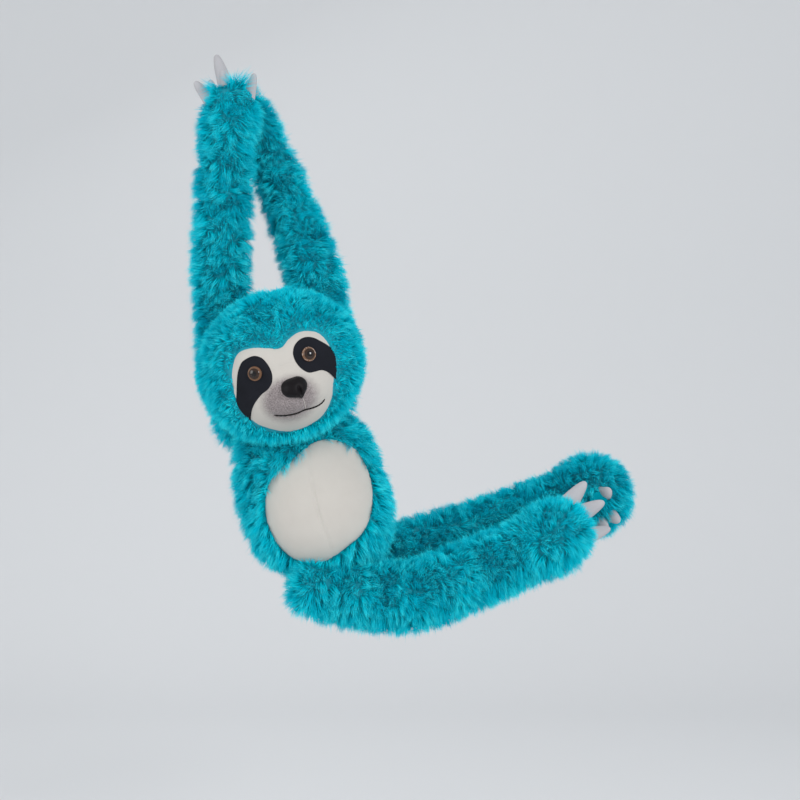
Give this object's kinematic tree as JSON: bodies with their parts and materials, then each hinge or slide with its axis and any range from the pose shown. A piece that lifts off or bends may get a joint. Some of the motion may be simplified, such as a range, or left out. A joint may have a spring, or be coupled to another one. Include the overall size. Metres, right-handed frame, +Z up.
{
  "type": "plush sloth",
  "caption": "Long-limbed plush sloth in teal pile with cream face and belly, hanging by its paws, its limbs and head jointed at the seams.",
  "frame": {"origin": "middle of the gap between the two hands' palms, where the rope they hold passes", "axes": "+Z up along the held rope, the face looks along -Y, +X towards the held-up feet"},
  "size_m": [0.551, 0.3376, 0.7168],
  "materials": {
    "claw_felt": "pale grey felt",
    "cream_velour": "short cream velour",
    "eye_plastic": "clear amber dome with a black pupil",
    "fastener_tape": "hook-and-loop tape",
    "muzzle_cloth": "grey brushed cloth",
    "nose_cloth": "dark brown cloth",
    "patch_cloth": "matte black cloth",
    "pile_fabric": "long teal pile",
    "stuffing": "white fibre filling",
    "thread": "black thread",
    "washer_plastic": "moulded washer"
  },
  "bodies": {
    "torso": {"torso_skin": "pile_fabric", "torso_stuffing": "stuffing", "belly_panel": "cream_velour"},
    "head": {"head_skin": "pile_fabric", "head_stuffing": "stuffing", "face_panel": "cream_velour", "eye_patch_right": "patch_cloth", "eye_right": "eye_plastic", "eye_washer_right": "washer_plastic", "eye_patch_left": "patch_cloth", "eye_left": "eye_plastic", "eye_washer_left": "washer_plastic", "muzzle": "muzzle_cloth", "nose": "nose_cloth", "mouth_stitch": "thread"},
    "upper_arm_right": {"upper_arm_right_skin": "pile_fabric", "upper_arm_right_stuffing": "stuffing"},
    "forearm_right": {"forearm_right_skin": "pile_fabric", "forearm_right_stuffing": "stuffing"},
    "hand_right": {"hand_right_skin": "pile_fabric", "hand_right_stuffing": "stuffing", "hand_right_pad": "fastener_tape", "hand_right_claw_1": "claw_felt", "hand_right_claw_2": "claw_felt", "hand_right_claw_3": "claw_felt"},
    "upper_arm_left": {"upper_arm_left_skin": "pile_fabric", "upper_arm_left_stuffing": "stuffing"},
    "forearm_left": {"forearm_left_skin": "pile_fabric", "forearm_left_stuffing": "stuffing"},
    "hand_left": {"hand_left_skin": "pile_fabric", "hand_left_stuffing": "stuffing", "hand_left_pad": "fastener_tape", "hand_left_claw_1": "claw_felt", "hand_left_claw_2": "claw_felt", "hand_left_claw_3": "claw_felt"},
    "thigh_right": {"thigh_right_skin": "pile_fabric", "thigh_right_stuffing": "stuffing"},
    "shin_right": {"shin_right_skin": "pile_fabric", "shin_right_stuffing": "stuffing"},
    "foot_right": {"foot_right_skin": "pile_fabric", "foot_right_stuffing": "stuffing", "foot_right_pad": "fastener_tape", "foot_right_claw_1": "claw_felt", "foot_right_claw_2": "claw_felt", "foot_right_claw_3": "claw_felt"},
    "thigh_left": {"thigh_left_skin": "pile_fabric", "thigh_left_stuffing": "stuffing"},
    "shin_left": {"shin_left_skin": "pile_fabric", "shin_left_stuffing": "stuffing"},
    "foot_left": {"foot_left_skin": "pile_fabric", "foot_left_stuffing": "stuffing", "foot_left_pad": "fastener_tape", "foot_left_claw_1": "claw_felt", "foot_left_claw_2": "claw_felt", "foot_left_claw_3": "claw_felt"}
  },
  "joints": [
    {"name": "neck_turn", "type": "hinge", "parent": "torso", "child": "head", "pos_m": [0.053, -0.147, -0.3271], "axis": [-0.2842, -0.5736, 0.7683], "range_deg": [-30, 30]},
    {"name": "shoulder_right", "type": "hinge", "parent": "torso", "child": "upper_arm_right", "pos_m": [0, -0.04, -0.4], "axis": [0, -1, 0], "range_deg": [0, 115]},
    {"name": "elbow_right", "type": "hinge", "parent": "upper_arm_right", "child": "forearm_right", "pos_m": [-0.02964, -0.0305, -0.22475], "axis": [0, -1, 0], "range_deg": [0, 50]},
    {"name": "wrist_right", "type": "hinge", "parent": "forearm_right", "child": "hand_right", "pos_m": [-0.02342, -0.0285, -0.06287], "axis": [1, 0, 0], "range_deg": [0, 50]},
    {"name": "shoulder_left", "type": "hinge", "parent": "torso", "child": "upper_arm_left", "pos_m": [0.1145, -0.04, -0.374], "axis": [0, 1, 0], "range_deg": [0, 100]},
    {"name": "elbow_left", "type": "hinge", "parent": "upper_arm_left", "child": "forearm_left", "pos_m": [0.08398, -0.012, -0.2009], "axis": [0, 1, 0], "range_deg": [0, 60]},
    {"name": "wrist_left", "type": "hinge", "parent": "forearm_left", "child": "hand_left", "pos_m": [0.02649, 0.0285, -0.05495], "axis": [-1, 0, 0], "range_deg": [0, 50]},
    {"name": "hip_right", "type": "hinge", "parent": "torso", "child": "thigh_right", "pos_m": [0.0874, -0.128, -0.5994], "axis": [0, 1, 0], "range_deg": [0, 95]},
    {"name": "knee_right", "type": "hinge", "parent": "thigh_right", "child": "shin_right", "pos_m": [0.20598, -0.089, -0.60562], "axis": [0, -1, 0], "range_deg": [-60, 0]},
    {"name": "ankle_right", "type": "hinge", "parent": "shin_right", "child": "foot_right", "pos_m": [0.34158, -0.048, -0.55626], "axis": [0, 0, -1], "range_deg": [0, 40]},
    {"name": "hip_left", "type": "hinge", "parent": "torso", "child": "thigh_left", "pos_m": [0.1386, -0.03, -0.5723], "axis": [0, 1, 0], "range_deg": [0, 90]},
    {"name": "knee_left", "type": "hinge", "parent": "thigh_left", "child": "shin_left", "pos_m": [0.25085, 0.02, -0.54946], "axis": [0, -1, 0], "range_deg": [-60, 0]},
    {"name": "ankle_left", "type": "hinge", "parent": "shin_left", "child": "foot_left", "pos_m": [0.39179, 0.048, -0.50637], "axis": [0, 0, 1], "range_deg": [0, 40]}
  ]
}
